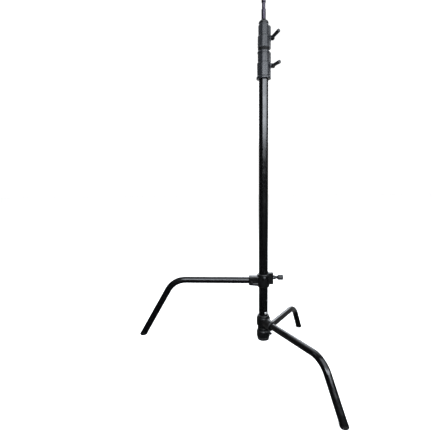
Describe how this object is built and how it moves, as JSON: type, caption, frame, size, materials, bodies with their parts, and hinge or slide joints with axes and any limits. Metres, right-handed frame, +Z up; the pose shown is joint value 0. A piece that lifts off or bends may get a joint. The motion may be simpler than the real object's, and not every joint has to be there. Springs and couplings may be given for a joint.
{
  "type": "folding light stand",
  "caption": "Floor stand with a round column, telescopic risers with T-handle locks, a grooved stud on top and three bent tube legs, one on a sliding collar.",
  "frame": {"origin": "on the floor, at the middle of the stand's outline seen from above", "axes": "+Z up along the column; -X towards the foot of the sliding leg, which stands above the floor; the front leg points to +X and -Y, the rear leg to +X and +Y"},
  "size_m": [0.7126, 0.722, 1.3445],
  "materials": {
    "gloss_black_paint": "gloss black paint on steel tube",
    "satin_black_casting": "satin black powder coat on cast aluminium",
    "grey_casting": "satin dark grey powder coat on cast aluminium",
    "handle_casting": "textured black powder coat on cast aluminium",
    "black_knob": "moulded black nylon, fluted",
    "black_rubber": "moulded black rubber",
    "bright_steel": "turned steel",
    "stud_steel": "dark plated turned steel",
    "plated_steel": "zinc plated steel",
    "black_steel": "black oxide steel",
    "black_nylon": "black nylon liner",
    "natural_nylon": "natural nylon bush"
  },
  "bodies": {
    "column": {"column_tube": "gloss_black_paint", "base_core": "satin_black_casting", "base_plug": "plated_steel", "base_cap": "satin_black_casting", "base_bolt": "black_steel", "base_washers": "black_nylon", "base_ring": "satin_black_casting", "leg_stop_pin": "bright_steel", "lower_lock_housing": "grey_casting", "lower_lock_liner": "black_nylon", "lower_lock_rivets": "black_steel"},
    "front_leg": {"front_leg_collar": "satin_black_casting", "front_leg_tube": "gloss_black_paint", "front_leg_foot": "black_rubber", "front_leg_pin": "black_steel"},
    "rear_leg": {"rear_leg_collar": "satin_black_casting", "rear_leg_tube": "gloss_black_paint", "rear_leg_foot": "black_rubber", "rear_leg_pin": "black_steel", "plunger_bush": "black_steel", "plunger_spring": "plated_steel"},
    "leg_plunger": {"leg_plunger": "black_steel"},
    "collar_liner": {"collar_liner": "black_nylon"},
    "sliding_leg": {"sliding_collar": "satin_black_casting", "sliding_leg_tube": "gloss_black_paint", "sliding_leg_foot": "black_rubber", "sliding_leg_pin": "black_steel", "collar_screw": "black_steel"},
    "collar_brake_shoe": {"collar_brake_shoe": "black_steel"},
    "collar_knob": {"collar_knob_stud": "plated_steel", "collar_knob": "black_knob"},
    "lower_brake_shoe": {"lower_brake_shoe": "black_steel"},
    "lower_t_handle": {"lower_handle_stud": "plated_steel", "lower_t_handle": "handle_casting"},
    "riser_1_glide": {"riser_1_glide": "natural_nylon"},
    "riser_1": {"riser_1_tube": "gloss_black_paint", "buffer_ring": "black_rubber", "upper_lock_housing": "grey_casting", "upper_lock_liner": "black_nylon", "upper_lock_rivets": "black_steel"},
    "upper_brake_shoe": {"upper_brake_shoe": "black_steel"},
    "upper_t_handle": {"upper_handle_stud": "plated_steel", "upper_t_handle": "handle_casting"},
    "riser_2_glide": {"riser_2_glide": "natural_nylon"},
    "riser_2": {"riser_2_tube": "gloss_black_paint", "riser_2_cap": "satin_black_casting", "baby_pin": "stud_steel", "baby_pin_roll_pin": "black_steel"}
  },
  "joints": [
    {"name": "front_leg_fold", "type": "hinge", "parent": "column", "child": "front_leg", "pos_m": [0.134, 0.01477, 0.164], "axis": [0, 0, 1], "range_deg": [-120, 0]},
    {"name": "rear_leg_fold", "type": "hinge", "parent": "column", "child": "rear_leg", "pos_m": [0.134, 0.01477, 0.1205], "axis": [0, 0, 1], "range_deg": [0, 120]},
    {"name": "plunger_pull", "type": "slide", "parent": "rear_leg", "child": "leg_plunger", "axis": [0.866, -0.5, 0], "range_m": [0, 0.002], "stiffness_N_per_m": 600, "springref_m": -0.004, "deforming": ["plunger_spring"]},
    {"name": "collar_slide", "type": "slide", "parent": "column", "child": "collar_liner", "axis": [0, 0, 1], "range_m": [-0.1016, 0.7]},
    {"name": "sliding_leg_swivel", "type": "hinge", "parent": "collar_liner", "child": "sliding_leg", "pos_m": [0.134, 0.01477, 0.3385], "axis": [0, 0, 1], "continuous": true},
    {"name": "collar_shoe_slide", "type": "slide", "parent": "sliding_leg", "child": "collar_brake_shoe", "axis": [1, 0, 0], "range_m": [0, 0.002]},
    {"name": "collar_knob_turn", "type": "hinge", "parent": "collar_brake_shoe", "child": "collar_knob", "pos_m": [0.134, 0.01477, 0.3385], "axis": [1, 0, 0], "range_deg": [0, 360]},
    {"name": "lower_shoe_slide", "type": "slide", "parent": "column", "child": "lower_brake_shoe", "axis": [0.866, 0.5, 0], "range_m": [0, 0.002]},
    {"name": "lower_handle_turn", "type": "hinge", "parent": "lower_brake_shoe", "child": "lower_t_handle", "pos_m": [0.134, 0.01477, 1.125], "axis": [0.866, 0.5, 0], "range_deg": [0, 360]},
    {"name": "riser_1_slide", "type": "slide", "parent": "column", "child": "riser_1_glide", "axis": [0, 0, 1], "range_m": [0, 0.92]},
    {"name": "riser_1_turn", "type": "hinge", "parent": "riser_1_glide", "child": "riser_1", "pos_m": [0.134, 0.01477, 0.64], "axis": [0, 0, 1], "continuous": true},
    {"name": "upper_shoe_slide", "type": "slide", "parent": "riser_1", "child": "upper_brake_shoe", "axis": [0.866, 0.5, 0], "range_m": [0, 0.002]},
    {"name": "upper_handle_turn", "type": "hinge", "parent": "upper_brake_shoe", "child": "upper_t_handle", "pos_m": [0.134, 0.01477, 1.2215], "axis": [0.866, 0.5, 0], "range_deg": [0, 360]},
    {"name": "riser_2_slide", "type": "slide", "parent": "riser_1", "child": "riser_2_glide", "axis": [0, 0, 1], "range_m": [0, 0.92]},
    {"name": "riser_2_turn", "type": "hinge", "parent": "riser_2_glide", "child": "riser_2", "pos_m": [0.134, 0.01477, 0.7], "axis": [0, 0, 1], "continuous": true}
  ],
  "couplings": [
    {"joint": "collar_knob_turn", "follows": "collar_shoe_slide", "rad_per_m": 3141.6},
    {"joint": "lower_handle_turn", "follows": "lower_shoe_slide", "rad_per_m": 3141.6},
    {"joint": "upper_handle_turn", "follows": "upper_shoe_slide", "rad_per_m": 3141.6}
  ]
}
